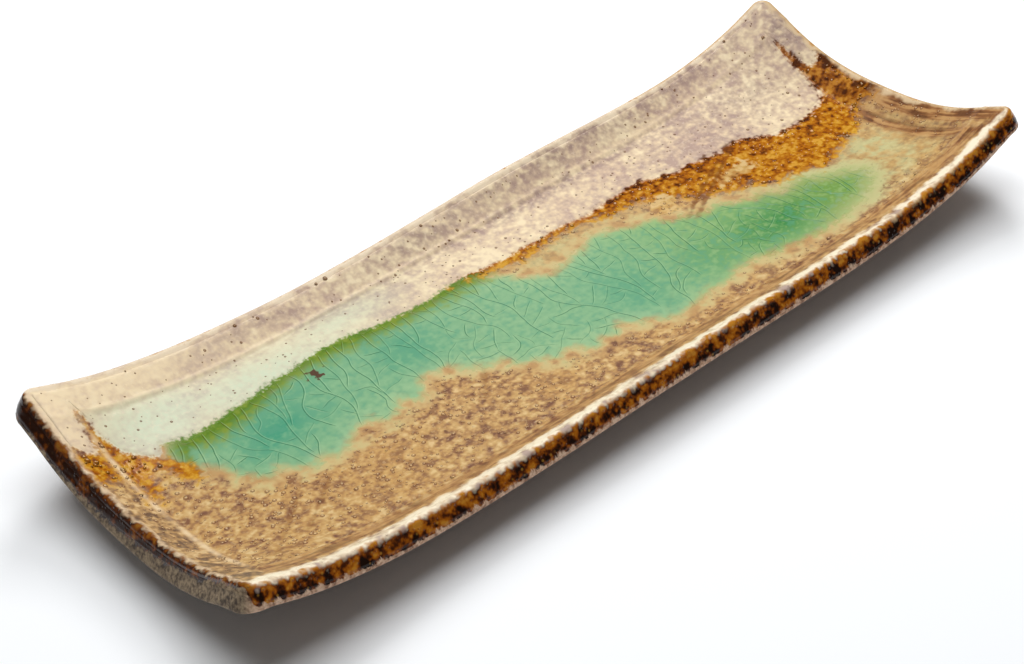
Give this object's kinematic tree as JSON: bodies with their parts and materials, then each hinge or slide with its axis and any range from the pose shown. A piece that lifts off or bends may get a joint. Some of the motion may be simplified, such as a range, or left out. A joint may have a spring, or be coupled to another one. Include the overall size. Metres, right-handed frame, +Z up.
{
  "type": "sushi plate",
  "caption": "Oblong hand-pressed stoneware sushi plate with lifted corners, a scored frame round the floor, layered ash, cream, amber and green crackle glazes, and low foot bars.",
  "frame": {"origin": "middle of the plate's footprint, on the table surface under the two foot bars", "axes": "+X along the length of the plate, +Y across it towards the cream glazed rear rim, +Z up"},
  "size_m": [0.2552, 0.0952, 0.0268],
  "materials": {
    "bare_stoneware": "matte, fired grey-brown stoneware with fine grog",
    "foot_stoneware": "matte, bare stoneware, smoothed by sponge",
    "ash_glaze": "satin ochre ash glaze with purplish-brown speckle and fine bubbles",
    "cream_glaze": "satin cream feldspar glaze with mauve-grey mottling and dark pinholes",
    "green_glass": "glossy crackled copper green glass",
    "amber_glaze": "glossy amber iron glaze with bubbles",
    "iron_glaze": "glossy amber-brown to black mottled iron glaze"
  },
  "bodies": {
    "root": {"plate_body": "bare_stoneware", "foot_bar_left": "foot_stoneware", "foot_bar_right": "foot_stoneware", "ash_glaze_coat": "ash_glaze", "cream_rear_glaze": "cream_glaze", "green_glass_pool": "green_glass", "amber_iron_run": "amber_glaze", "iron_edge_glaze": "iron_glaze"}
  },
  "joints": []
}
